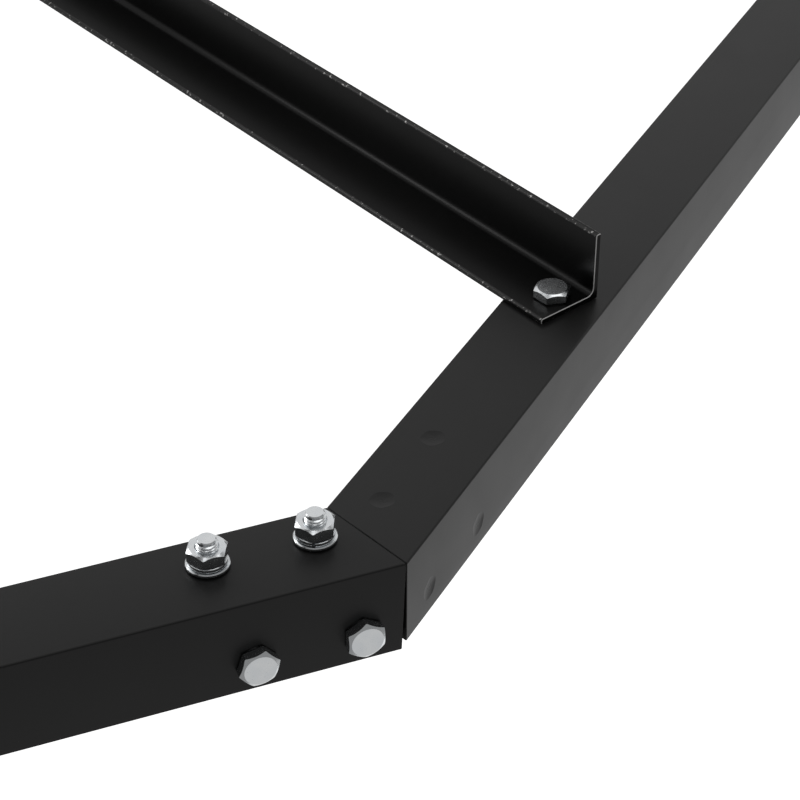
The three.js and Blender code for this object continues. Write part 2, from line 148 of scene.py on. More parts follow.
SPRING_RISE = 0.5                # step between the ends of its turn
SPRING_STEPS = 56
LEVEL_GAP = 0.05                 # between the washers and nut of a stack
PROUD = 4.3                      # how far a bolt stands out of its nut

SIDE_TWISTS = (0, 0)             # turns of the heads and nuts, in degrees
TOP_TWISTS = (0.6, 41.9)
STRUT_TWIST = -40
SIDE_NUT_TURNS = (25.4, 28)
SIDE_SPRING_TURNS = (-66, 130)

# ---- The frame's own places ----

rail_low, rail_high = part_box("top_rail_left")
bar_low, bar_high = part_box("crossbar_rear")
CORNER_AT = Vector((rail_low.x, rail_low.y, rail_high.z))
RAIL_LENGTH = (rail_high.x - rail_low.x) / MM
BED = -rail_high.z / MM          # height of the bed in a side frame's own millimetres
BASE_TOP = BED + TUBE
CROSSBAR_LENGTH = (bar_high.y - bar_low.y) / MM


def side_place(side):
    """Maps a side frame's own millimetres to the rack: x forward, y outboard, z up from the corner."""
    sign = SIDES[side]

    def place(p):
        x, y, z = p
        return Vector((CORNER_AT.x + x * MM, sign * (CORNER_AT.y + y * MM), CORNER_AT.z + z * MM))
    return place


def crossbar_place(x, sign=1):
    """Maps millimetres on top of a crossbar's middle: x forward, y to the side, z up."""
    def place(p):
        return Vector((CORNER_AT.x + (x + p[0]) * MM, sign * p[1] * MM, bar_high.z + p[2] * MM))
    return place


def down_kicker(p):
    """A straight tube's own place, turned to run down the kicker leg."""
    along, y, z = p
    x = -along * math.cos(DROP) - z * math.sin(DROP)
    return (x, y, -along * math.sin(DROP) + z * math.cos(DROP))


def on_strut(along, heel=BOLT_FROM_HEEL):
    """A place on the strut's foot, from its upper end and from its heel: x and z of the side frame."""
    x, _, z = down_kicker((STRUT_AT, 0, 0))
    t = STRUT_SETBACK + along
    return (x + t * math.sin(STRUT_LEAN) + heel * math.cos(STRUT_LEAN),
            z - t * math.cos(STRUT_LEAN) + heel * math.sin(STRUT_LEAN))


# ---- Shader maths ----

class Socket:
    """A node's output that can be used in an expression."""

    def __init__(self, sheet, output):
        self.sheet = sheet
        self.output = output

    def math(self, operation, *values):
        return self.sheet.node("ShaderNodeMath", {"operation": operation}, dict(enumerate(values)))

    def __add__(self, other):
        return self.math("ADD", self, other)

    def __radd__(self, other):
        return self.math("ADD", other, self)

    def __sub__(self, other):
        return self.math("SUBTRACT", self, other)

    def __rsub__(self, other):
        return self.math("SUBTRACT", other, self)

    def __mul__(self, other):
        return self.math("MULTIPLY", self, other)

    def __rmul__(self, other):
        return self.math("MULTIPLY", other, self)

    def below(self, limit):
        return self.math("LESS_THAN", self, limit)

    def over(self, low, high):
        """0 below low, 1 above high, and a smooth step between them."""
        return self.sheet.node("ShaderNodeMapRange", {"interpolation_type": "SMOOTHSTEP"},
                               {"Value": self, "From Min": low, "From Max": high})


class Sheet:
    """The node tree of one finish."""

    def __init__(self, name):
        self.material = bpy.data.materials.new(name)
        self.material.use_nodes = True
        self.tree = self.material.node_tree
        self.tree.nodes.clear()
        self.place = self.node("ShaderNodeTexCoord", output="Object")

    def node(self, kind, settings=None, values=None, output=0):
        node = self.tree.nodes.new(kind)
        for name, value in (settings or {}).items():
            setattr(node, name, value)
        for name, value in (values or {}).items():
            if isinstance(value, Socket):
                self.tree.links.new(value.output, node.inputs[name])
            else:
                node.inputs[name].default_value = value
        return Socket(self, node.outputs[output]) if node.outputs else None

    def edge(self):
        """How much wear and painted edge highlight a place gets, as marked on the faces."""
        return self.node("ShaderNodeAttribute", {"attribute_name": "edge"}, output="Fac")

    def noise(self, scale, detail=3, stretch=(1, 1, 1)):
        place = self.node("ShaderNodeMapping", None, {"Vector": self.place, "Scale": stretch})
        return self.node("ShaderNodeTexNoise", None, {"Vector": place, "Scale": scale, "Detail": detail})

    def cells(self, scale):
        return self.node("ShaderNodeTexVoronoi", None, {"Vector": self.place, "Scale": scale})

    def blend(self, factor, low, high):
        settings = {"data_type": "RGBA"}
        return self.node("ShaderNodeMix", settings, {0: factor, 6: low, 7: high}, output=2)

    def bump(self, height, depth, strength=1.0):
        return self.node("ShaderNodeBump", None,
                         {"Height": height, "Distance": depth, "Strength": strength})

    def finish(self, **values):
        shader = self.node("ShaderNodeBsdfPrincipled", None,
                           {name.replace("_", " "): value for name, value in values.items()})
        self.node("ShaderNodeOutputMaterial", None, {"Surface": shader})
        return self.material


def grey(value, warm=0.0):
    return (value * (1 + warm), value, value * (1 - warm), 1)


# ---- Finishes ----

def powder_coat():
    """Satin black with a fine orange peel; its edges are nicked, thinned by wear and lightened by a painted
    highlight.
    """
    sheet = Sheet("black powder coat")
    cloud = sheet.noise(5)
    patch = sheet.noise(38, 4)
    peel = sheet.noise(620, 2)
    grain = sheet.noise(2600, 2)
    edge = sheet.edge()
    # Marked edges turn a paler grey and more metallic: partly a worn, thinned coat, partly a painted
    # highlight.
    thin_coat_and_glint = edge * (0.45 + 0.5 * sheet.noise(30, 3).over(0.35, 0.65))
    nick = edge * sheet.noise(420, 4).over(0.60, 0.68)
    coat = sheet.blend(cloud, grey(0.0050), grey(0.0075, 0.02))
    speck = sheet.cells(95).below(0.02) * patch.over(0.55, 0.62)
    coat = sheet.blend(speck * 0.5, coat, grey(0.05))
    coat = sheet.blend(thin_coat_and_glint, coat, grey(0.16, 0.01))
    colour = sheet.blend(nick, coat, grey(0.50, 0.02))
    rough = 0.33 + 0.05 * cloud + 0.06 * patch - 0.08 * edge
    normal = sheet.bump(peel * 0.75 + grain * 0.25 - nick * 0.6, 0.00003, 0.5)
    shine = edge * 0.55 + nick * 0.3
    return sheet.finish(Base_Color=colour, Roughness=rough, Metallic=shine, Normal=normal, IOR=1.33)


def angle_paint():
    """The angle irons' thinner and glossier black, with bright nicks and a painted highlight on its edges.
    """
    sheet = Sheet("black angle paint")
    cloud = sheet.noise(9)
    patch = sheet.noise(60, 4)
    peel = sheet.noise(700, 2)
    edge = sheet.edge()
    nick = edge * sheet.noise(420, 4).over(0.60, 0.68)
    coat = sheet.blend(cloud, grey(0.0014), grey(0.0026, 0.02))
    # Marked edges turn paler, the most marked to a pale bare grey: partly wear, partly a painted highlight.
    coat = sheet.blend(edge * 0.5, coat, grey(0.10, 0.01))
    bare_and_glint = edge.over(0.7, 0.9)
    coat = sheet.blend(bare_and_glint, coat, grey(0.55, 0.01))
    colour = sheet.blend(nick, coat, grey(0.55, 0.02))
    rough = 0.26 + 0.05 * cloud + 0.06 * patch - 0.06 * edge
    normal = sheet.bump(peel - nick * 0.6, 0.00003, 0.4)
    shine = edge * 0.5 - bare_and_glint * 0.3
    return sheet.finish(Base_Color=colour, Roughness=rough, Metallic=shine, Normal=normal, IOR=1.22)


def zinc_plate():
    """Bright cool plating with faint stains and drag marks."""
    sheet = Sheet("bright zinc plate")
    cloud = sheet.noise(150, 3)
    fine = sheet.noise(900, 4)
    drag = sheet.noise(500, 3, (1, 6, 1))
    tint = sheet.blend(cloud, (0.66, 0.69, 0.72, 1), (0.80, 0.81, 0.81, 1))
    stain = fine.over(0.62, 0.78)
    colour = sheet.blend(stain * 0.35, tint, (0.42, 0.43, 0.44, 1))
    rough = 0.16 + 0.08 * cloud + 0.06 * fine + 0.08 * stain
    normal = sheet.bump(fine * 0.6 + drag * 0.4, 0.00004, 0.35)
    return sheet.finish(Base_Color=colour, Roughness=rough, Metallic=1.0, Normal=normal)


def mill_steel():
    sheet = Sheet("mill steel")
    cloud = sheet.noise(60, 4)
    colour = sheet.blend(cloud, grey(0.012), grey(0.03, 0.05))
    normal = sheet.bump(sheet.noise(700), 0.00005, 0.4)
    return sheet.finish(Base_Color=colour, Roughness=0.45 + 0.2 * cloud, Metallic=0.6, Normal=normal)


def moulded_plastic():
    sheet = Sheet("moulded black plastic")
    cloud = sheet.noise(30)
    grain = sheet.noise(1400, 2)
    colour = sheet.blend(cloud, grey(0.008), grey(0.014))
    normal = sheet.bump(grain, 0.00005, 0.5)
    return sheet.finish(Base_Color=colour, Roughness=0.5 + 0.1 * cloud, Metallic=0.0, Normal=normal)


COAT = powder_coat()
ANGLE_COAT = angle_paint()
ZINC = zinc_plate()
MILL = mill_steel()
PLASTIC = moulded_plastic()

# ---- Outlines ----


def arc(centre, radius, start, end, steps):
    """Points of an arc in degrees, both ends included."""
    points = []
    for i in range(steps + 1):
        angle = math.radians(start + (end - start) * i / steps)
        points.append((centre[0] + radius * math.cos(angle), centre[1] + radius * math.sin(angle)))
    return points


def rounded_box(u0, u1, v0, v1, radius, steps=10):
    corners = (((u1 - radius, v0 + radius), -90), ((u1 - radius, v1 - radius), 0),
               ((u0 + radius, v1 - radius), 90), ((u0 + radius, v0 + radius), 180))
    outline = []
    for centre, start in corners:
        outline += arc(centre, radius, start, start + 90, steps)
    return outline


def inset(outline, amount):
    """The outline drawn in by an amount; it runs anticlockwise."""
    result = []
    count = len(outline)
    for i, (u, v) in enumerate(outline):
        before = Vector(outline[i - 1])
        after = Vector(outline[(i + 1) % count])
        here = Vector((u, v))
        one = (here - before).normalized()
        two = (after - here).normalized()
        along = (one + two).normalized()
        inward = Vector((-along.y, along.x))
        lean = max(0.4, along.dot(one))
        result.append(tuple(here + inward * amount / lean))
    return result


def angle_outline():
    """The angle iron's section: the flat leg along u, the standing leg along v, the heel at 0, 0."""
    toe = ANGLE_TOE
    heel = ANGLE_HEEL
    fillet = ANGLE_WALL + ANGLE_FILLET
    outline = arc((heel, heel), heel, 180, 270, 4)
    outline += arc((ANGLE_LEG - heel, heel), heel, 270, 360, 4)
    outline += arc((ANGLE_LEG - toe, ANGLE_WALL - toe), toe, 0, 90, 6)
    outline += arc((fillet, fillet), ANGLE_FILLET, 270, 180, 12)
    outline += arc((ANGLE_WALL - toe, ANGLE_LEG - toe), toe, 0, 90, 6)
    outline += arc((heel, ANGLE_LEG - heel), heel, 90, 180, 4)
    return outline


# ---- Mesh work ----

def rings_to_mesh(bm, rings, wear_and_glint=(), around=True):
    """Joins rings of places, first to last and back when around, and marks the bands that get wear and a
    painted edge highlight.
    """
    mark = bm.faces.layers.float.get("edge") or bm.faces.layers.float.new("edge")
    loops = [[bm.verts.new(p) for p in ring] for ring in rings]
    pairs = len(loops) if around else len(loops) - 1
    for i in range(pairs):
        one, two = loops[i], loops[(i + 1) % len(loops)]
        for k in range(len(one)):
            after = (k + 1) % len(one)
            face = bm.faces.new((one[k], one[after], two[after], two[k]))
            face[mark] = 1.0 if i in wear_and_glint else 0.0
    return loops


def piece(name, bm, finish, nodes=(), sharp=30):
    """Turns mesh work into a finished piece that rides on the rack."""
    bmesh.ops.recalc_face_normals(bm, faces=bm.faces)
    mesh = bpy.data.meshes.new(name)
    bm.to_mesh(mesh)
    bm.free()
    obj = bpy.data.objects.new(name, mesh)
    bpy.context.scene.collection.objects.link(obj)
    return settle(obj, finish, nodes, sharp)


def settle(obj, finish, nodes=(), sharp=30):
    mesh = obj.data
    mesh.materials.clear()
    mesh.materials.append(finish)
    mesh.polygons.foreach_set("use_smooth", [True] * len(mesh.polygons))
    mesh.set_sharp_from_angle(angle=math.radians(sharp))
    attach(obj, ROOT)
    if nodes:
        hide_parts(*nodes)
    return obj


def baked(obj, name):
    """A plain mesh of the object with its modifiers, in place of it."""
    graph = bpy.context.evaluated_depsgraph_get()
    graph.update()
    mesh = bpy.data.meshes.new_from_object(obj.evaluated_get(graph))
    bpy.data.objects.remove(obj)
    mesh.name = name
    result = bpy.data.objects.new(name, mesh)
    bpy.context.scene.collection.objects.link(result)
    return result


def tube(depth, width, start, end, place, edge=EDGE):
    """A square tube along x: y from 0 to depth, z from 0 down to -width.
    start and end give x at (y, z)."""
    outer = rounded_box(0, depth, -width, 0, CORNER)
    inner = rounded_box(WALL, depth - WALL, WALL - width, -WALL, INNER_CORNER)
    cut = inset(outer, edge)

    def ring(outline, where, more=0.0):
        return [place((where(y, z) + more, y, z)) for y, z in outline]
    bm = bmesh.new()
    rings = [ring(cut, start), ring(outer, start, edge), ring(outer, end, -edge),
             ring(cut, end), ring(inner, end), ring(inner, start)]
    # The broken edge of the far end is marked for wear and a painted edge highlight.
    far_edge = 2
    rings_to_mesh(bm, rings, wear_and_glint=(far_edge,))
    return bm


def bar(outline, start, end, edge, place, wear_and_glint_steps=()):
    """A solid bar of the outline with broken ends; place takes (x, u, v).
    The bands of wear and painted edge highlight along it are steps of the outline."""
    cut = inset(outline, edge)
    rings = [[place((x, u, v)) for u, v in shape] for x, shape in
             ((start, cut), (start + edge, outline), (end - edge, outline), (end, cut))]
    bm = bmesh.new()
    mark = bm.faces.layers.float.new("edge")
    # Both broken ends are marked for wear and a painted edge highlight.
    loops = rings_to_mesh(bm, rings, wear_and_glint=(0, 2), around=False)
    count = len(outline)
    bm.faces.ensure_lookup_table()
    # The given steps get wear and a painted highlight along the bar.
    for k in wear_and_glint_steps:
        bm.faces[count + k][mark] = TOE_WEAR_AND_GLINT
    bm.faces.new(loops[0])
    bm.faces.new(loops[-1])
    return bm


def constant(x):
    return lambda y, z: x


def mitre(seam=0.0, opening=0.0):
    return lambda y, z: seam - z / math.tan(MITRE) + opening * y / TUBE


# ---- Tubes of a side frame ----

TOP_EDGE_FACE = 21               # the broken edge of a tube's start, along its top face
# Mark on the rail's mitred end edge along its top face: a painted highlight line.
MITRE_GLINT = 0.5


def rail(side):
    bm = tube(TUBE, TUBE, mitre(0, MITRE_OPENING), constant(RAIL_LENGTH), side_place(side))
    bm.faces.ensure_lookup_table()
    # The top face's mitred end edge gets a painted highlight line.
    bm.faces[TOP_EDGE_FACE][bm.faces.layers.float["edge"]] = MITRE_GLINT
    piece(f"rail_tube_{side}", bm, COAT, [f"top_rail_{side}"], sharp=12)


def kicker(side):
    place = side_place(side)
    floor = BASE_TOP + GAP + PLATE

    def lower_end(y, z):
        return (-floor + z * math.cos(DROP)) / math.sin(DROP)
    seam = GAP / math.sin(MITRE)
    bm = tube(KICKER_DEPTH, TUBE, mitre(seam), lower_end, lambda p: place(down_kicker(p)))
    obj = piece(f"kicker_tube_{side}", bm, COAT, sharp=12)
    cutter = weld_dishes(place)
    cut = obj.modifiers.new("plug welds", "BOOLEAN")
    cut.object = cutter
    cut.solver = "EXACT"
    name = obj.name
    obj.name = name + "_raw"
    obj = baked(obj, name)
    bpy.data.objects.remove(cutter)
    bowl_sharp = 9
    settle(obj, COAT, [f"kicker_leg_{side}"], bowl_sharp)


def weld_bowl(turn, phase):
    """Rings of one plug weld's bowl, from its middle out, with an uneven rim and lumps in its middle."""
    ball = (WELD_RADIUS ** 2 + WELD_DEPTH ** 2) / (2 * WELD_DEPTH)
    reach = WELD_RADIUS * 1.25
    rings = []
    for i in range(1, WELD_RINGS + 1):
        r = reach * i / WELD_RINGS
        ring = []
        for k in range(WELD_STEPS):
            a = math.tau * k / WELD_STEPS
            wave = 1 + 0.05 * math.sin(2 * a + phase) + 0.03 * math.sin(5 * a)
            lump = WELD_LUMP * math.sin(r * 2.3 + 3 * a) * max(0.0, 1 - r / WELD_LUMP_REACH)
            z = ball - WELD_DEPTH - math.sqrt(ball ** 2 - r ** 2) + lump
            ring.append(turn @ Vector((r * wave * math.cos(a), r * wave * math.sin(a), z)))
        rings.append(ring)
    return rings


def weld_dishes(place):
    """Cutter for the shallow bowls that the plug welds leave in the kicker leg."""
    bm = bmesh.new()
    past_the_wall = 3
    spots = [((s, 0, -SIDE_WELD_DOWN), Vector((0, -1, 0))) for s in SIDE_WELDS]
    spots += [((s, TOP_WELD_IN, 0), Vector((0, 0, 1))) for s in TOP_WELDS]
    for spot, out in spots:
        rings = weld_bowl(out.to_track_quat("Z", "Y").to_matrix(), spot[0] * 0.37)
        rings.append([p + out * past_the_wall for p in rings[-1]])
        rings = [[place(down_kicker(Vector(spot) + p)) for p in ring] for ring in rings]
        loops = rings_to_mesh(bm, rings, around=False)
        bm.faces.new(loops[0])
        bm.faces.new(loops[-1])
    bmesh.ops.recalc_face_normals(bm, faces=bm.faces)
    mesh = bpy.data.meshes.new("weld dishes")
    bm.to_mesh(mesh)
    bm.free()
    obj = bpy.data.objects.new("weld dishes", mesh)
    bpy.context.scene.collection.objects.link(obj)
    return obj


def base(side):
    place = side_place(side)
    bm = tube(TUBE, TUBE, constant(BASE_REAR), constant(BASE_FRONT),
              lambda p: place((p[0], p[1], p[2] + BASE_TOP)))
    piece(f"base_tube_{side}", bm, COAT, [f"base_rail_{side}"], sharp=12)


def post(side):
    place = side_place(side)
    low = BASE_TOP + GAP
    high = -TUBE - GAP
    bm = tube(TUBE, TUBE, constant(low + PLATE), constant(high - PLATE),
              lambda p: place((POST_X - TUBE / 2 - p[2], p[1], p[0])))
    piece(f"post_tube_{side}", bm, COAT, [f"front_post_{side}"], sharp=12)
    for name, z in (("foot", low), ("top", high - PLATE)):
        outline = rounded_box(POST_X - POST_PLATE / 2, POST_X + POST_PLATE / 2, 0, TUBE, PLATE_CORNER, 6)
        plate(f"post_{name}_plate_{side}", outline, z, place)
    tube_foot = rounded_box(POST_X - TUBE / 2, POST_X + TUBE / 2, 0, TUBE, CORNER, 3)
    weld_bead(f"post_foot_weld_{side}", tube_foot, low + PLATE, place, 1)
    weld_bead(f"post_top_weld_{side}", tube_foot, high - PLATE, place, -1)


def plate(name, outline, z, place):
    bm = bar(outline, z, z + PLATE, PLATE_EDGE, lambda p: place((p[1], p[2], p[0])))
    piece(name, bm, COAT, sharp=12)


def kicker_foot(side):
    place = side_place(side)
    z = BASE_TOP + GAP
    outline = rounded_box(FOOT_FROM, FOOT_TO, 0, TUBE, PLATE_CORNER, 6)
    plate(f"kicker_foot_plate_{side}", outline, z, place)
    top = z + PLATE
    ends = [-top - width * math.cos(DROP) for width in (0, TUBE)]
    rear, front = (-end / math.tan(DROP) + width * math.sin(DROP) for end, width in zip(ends, (0, TUBE)))
    tube_foot = rounded_box(rear, front, 0, KICKER_DEPTH, CORNER, 3)
    weld_bead(f"kicker_foot_weld_{side}", tube_foot, top, place, 1)


# ---- Angle iron ----

def wear_and_glint_toes(outline):
    """The steps of the angle's outline in the middle of its toes' rounding and at its outer corners, which
    get wear and a painted highlight line.
    """
    high = ANGLE_LEG - ANGLE_HEEL
    wear_and_glint = []
    for k, (one, two) in enumerate(zip(outline, outline[1:])):
        u, v = (one[0] + two[0]) / 2, (one[1] + two[1]) / 2
        at_corner = (u > high or v > high) and math.dist(one, two) < ANGLE_HEEL
        at_toe = math.dist(one, two) < ANGLE_TOE / 2 and min(u, v) > ANGLE_WALL - ANGLE_TOE / 2
        if at_corner or (at_toe and max(u, v) > high - ANGLE_TOE):
            wear_and_glint.append(k)
    return wear_and_glint


def angle_iron(name, length, place, nodes):
    outline = angle_outline()
    bm = bar(outline, 0, length, ANGLE_END, place, wear_and_glint_toes(outline))
    piece(name, bm, ANGLE_COAT, nodes, sharp=14)


def strut(side):
    place = side_place(side)

    def lay(p):
        along, flat, stand = p
        x, z = on_strut(along, flat)
        return place((x, -GAP - stand, z))
    angle_iron(f"strut_angle_{side}", STRUT_LENGTH, lay, [f"corner_strut_{side}"])


def knee(side):
    place = side_place(side)
    cos, sin = math.cos(KNEE_LEAN), math.sin(KNEE_LEAN)

    def lay(p):
        along, flat, stand = p[0] - BOLT_FROM_END, p[1] - BOLT_FROM_HEEL, p[2]
        x = POST_X + along * cos - flat * sin
        return place((x, -GAP - stand, -KNEE_RAIL_DROP - KNEE_REACH + along * sin + flat * cos))
    angle_iron(f"knee_angle_{side}", KNEE_LENGTH, lay, [f"knee_brace_{side}"])


# ---- Crossbars, stops and caps ----

def crossbar(name, x):
    place = crossbar_place(x)
    half = CROSSBAR_LENGTH / 2
    bm = tube(TUBE, TUBE, constant(-half), constant(half),
              lambda p: place((p[1] - TUBE / 2, p[0], p[2])))
    piece(f"crossbar_tube_{name}", bm, COAT, [f"crossbar_{name}"], sharp=12)


def stop(name, x, side):
    sign = SIDES[side]
    place = crossbar_place(x, sign)
    inboard = CORNER_AT.y / MM
    bend = STOP_BEND + STOP_THICKNESS
    nose = STOP_NOSE
    centre = (STOP_BASE - bend, bend)
    outline = arc(centre, bend, -90, 0, 8)
    outline += arc((STOP_BASE - nose, STOP_HEIGHT - nose), nose, 0, 90, 4)
    outline += arc((STOP_BASE - STOP_THICKNESS + nose, STOP_HEIGHT - nose), nose, 90, 180, 4)
    outline += arc(centre, STOP_BEND, 0, -90, 8)
    outline += arc((nose, STOP_THICKNESS - nose), nose, 90, 180, 4)
    outline += arc((nose, nose), nose, 180, 270, 4)
    bm = bar(outline, -STOP_WIDTH / 2, STOP_WIDTH / 2, STOP_EDGE,
             lambda p: place((p[0], inboard + p[1], GAP + p[2])))
    piece(f"stop_{name}_{side}", bm, COAT, [f"ladder_stop_{name}_{side}"], sharp=14)


def end_cap(name, place, nodes=()):
    """A moulded plug: a domed face over the tube's end, a skirt inside it, with a shallow dish in the face.
    place takes (out of the tube, across, up) from the middle of the tube's end."""
    half = TUBE / 2
    inside = half - WALL - GAP
    face = rounded_box(-half, half, -half, half, CAP_CORNER, 6)
    skirt = rounded_box(-inside, inside, -inside, inside, 1.5, 6)
    plug = ((-CAP_SKIRT - CAP_LEAD, inset(skirt, 0.5)), (-CAP_SKIRT, skirt), (GAP, skirt))
    rings = [[place((out, u, v)) for u, v in shape] for out, shape in plug]
    steps = ((GAP, 0), (1.6, 0), (2.5, 0.6), (CAP, 2.0), (CAP, 5.0), (CAP - CAP_STEP, 6.0),
             (CAP - CAP_STEP, 14.0))
    for out, draw in steps:
        part = (half - draw) / half
        rings.append([place((out, u * part, v * part)) for u, v in face])
    bm = bmesh.new()
    loops = rings_to_mesh(bm, rings, around=False)
    bm.faces.new(loops[0])
    bm.faces.new(loops[-1])
    piece(name, bm, PLASTIC, nodes)


def side_caps(side):
    place = side_place(side)
    middle = TUBE / 2
    end_cap(f"rail_cap_{side}", lambda p: place((RAIL_LENGTH + p[0], middle + p[1], p[2] - middle)),
            [f"rail_end_cap_{side}"])
    height = BASE_TOP - middle
    end_cap(f"base_cap_front_{side}", lambda p: place((BASE_FRONT + p[0], middle + p[1], height + p[2])))
    end_cap(f"base_cap_rear_{side}", lambda p: place((BASE_REAR - p[0], middle + p[1], height + p[2])))


def crossbar_cap(name, x, side):
    place = crossbar_place(x, SIDES[side])
    half = CROSSBAR_LENGTH / 2
    end_cap(f"crossbar_cap_{name}_{side}", lambda p: place((p[1], half + p[0], p[2] - TUBE / 2)))


# ---- Fasteners, drawn along z with the seat of the head or nut at z = 0 ----

def hex_corners():
    """Directions round a hexagon: along each flat, with a narrow land at each corner."""
    half = 30 - LAND
    steps = 8
    angles = []
    for flat in range(6):
        for step in range(steps + 1):
            angles.append(math.radians(60 * flat - half + 2 * half * step / steps))
    return angles


ROUND = hex_corners()


def hex_radius(angle):
    turn = math.radians(60)
    off = (angle + turn / 2) % turn - turn / 2
    return FLATS / 2 / math.cos(off)


def round_ring(radius, z):
    return [Vector((radius * math.cos(a), radius * math.sin(a), z)) for a in ROUND]


def hex_ring(z, chamfer_from=None, up=1):
    """A ring on the hexagon's flanks; with chamfer_from, it drops away past that radius."""
    ring = []
    for a in ROUND:
        r = hex_radius(a)
        drop = 0 if chamfer_from is None else max(0.0, r - chamfer_from) * CHAMFER
        ring.append(Vector((r * math.cos(a), r * math.sin(a), z - up * drop)))
    return ring


def thread_ring(z, depth):
    """A ring of the screw thread, whose radius follows the helix."""
    ring = []
    for a in ROUND:
        phase = (z / PITCH - a / math.tau) % 1
        ridge = min(1.0, max(0.0, 1.7 * abs(2 * phase - 1) - 0.35))
        r = SHANK - depth * (1 - ridge)
        ring.append(Vector((r * math.cos(a), r * math.sin(a), z)))
    return ring


def template(name, rings, ends):
    bm = bmesh.new()
    loops = rings_to_mesh(bm, rings, around=not ends)
    if ends:
        bm.faces.new(loops[0])
        bm.faces.new(loops[-1])
    bmesh.ops.recalc_face_normals(bm, faces=bm.faces)
    bmesh.ops.scale(bm, vec=(MM, MM, MM), verts=bm.verts)
    mesh = bpy.data.meshes.new(name)
    bm.to_mesh(mesh)
    bm.free()
    mesh.polygons.foreach_set("use_smooth", [True] * len(mesh.polygons))
    mesh.set_sharp_from_angle(angle=math.radians(CRISP))
    obj = bpy.data.objects.new(name, mesh)
    bpy.context.scene.collection.objects.link(obj)
    return obj


def hex_bolt(length, threaded=18):
    """A hex bolt: chamfered head, washer face, plain shank and a rolled thread with a chamfered end."""
    face = BOLT_FACE
    rings = [round_ring(face * 0.5, HEAD), round_ring(face - 0.16, HEAD), hex_ring(HEAD - FACE_BREAK, face),
             hex_ring(0.5), round_ring(FLATS / 2 - 0.5, 0.4), round_ring(FLATS / 2 - 0.6, 0),
             round_ring(SHANK, 0)]
    first = -(length - threaded)
    run = threaded - THREAD_TIP
    rings.append(round_ring(SHANK, first + 1))
    steps = int(run * THREAD_RINGS)
    for i in range(steps + 1):
        depth = THREAD_DEPTH * min(1.0, i / THREAD_RUN_IN)
        rings.append(thread_ring(first - run * i / steps, depth))
    rings += [round_ring(SHANK - 0.65, -length + 0.5), round_ring(SHANK - 1.1, -length),
              round_ring(SHANK - 2.4, -length + 0.12)]
    return template("hex bolt", rings, ends=True)


def hex_nut():
    """A hex nut seated at z = 0 and standing down, with both faces chamfered and a countersunk bore."""
    bore = SHANK - 0.35
    sink = 0.9
    rings = [round_ring(SHANK + 0.45, 0), round_ring(NUT_FACE, 0), hex_ring(-FACE_BREAK, NUT_SEAT),
             hex_ring(-NUT + 0.06, NUT_FACE, -1), round_ring(NUT_FACE, -NUT), round_ring(SHANK + 0.5, -NUT),
             round_ring(bore, -NUT + sink), round_ring(bore, -sink)]
    return template("hex nut", rings, ends=False)


def flat_washer():
    hole = SHANK + CLEARANCE
    face = FLAT_WASHER - FLAT_RIM
    rings = [round_ring(hole, 0), round_ring(face, 0), round_ring(FLAT_WASHER, -FLAT_RIM),
             round_ring(FLAT_WASHER, -FLAT_THICKNESS + FLAT_RIM), round_ring(face, -FLAT_THICKNESS),
             round_ring(hole, -FLAT_THICKNESS)]
    return template("flat washer", rings, ends=False)


def spring_washer():
    """One open turn of square wire, whose ends stand a little apart."""
    bevel = 0.3
    slack = SPRING_RISE / 2
    section = rounded_box(SHANK + CLEARANCE, SPRING_WASHER, -SPRING_THICKNESS + slack, -slack, bevel, 2)
    rings = []
    for i in range(SPRING_STEPS + 1):
        part = i / SPRING_STEPS
        a = SPRING_OPENING / 2 + (math.tau - SPRING_OPENING) * part
        lift = SPRING_RISE * (part - 0.5)
        rings.append([Vector((u * math.cos(a), u * math.sin(a), v + lift)) for u, v in section])
    return template("spring washer", rings, ends=True)


def weld_lump():
    """One ripple of a weld bead."""
    long, wide, high = 2.1, 1.3, 2.0
    bands, steps = 6, 10
    rings = []
    for i in range(1, bands):
        angle = math.pi * i / bands
        ring = []
        for k in range(steps):
            a = math.tau * k / steps
            ring.append(Vector((long * math.sin(angle) * math.cos(a), wide * math.sin(angle) * math.sin(a),
                                high * math.cos(angle))))
        rings.append(ring)
    return template("weld ripple", rings, ends=True)


# ---- A row of like parts, by geometry nodes ----

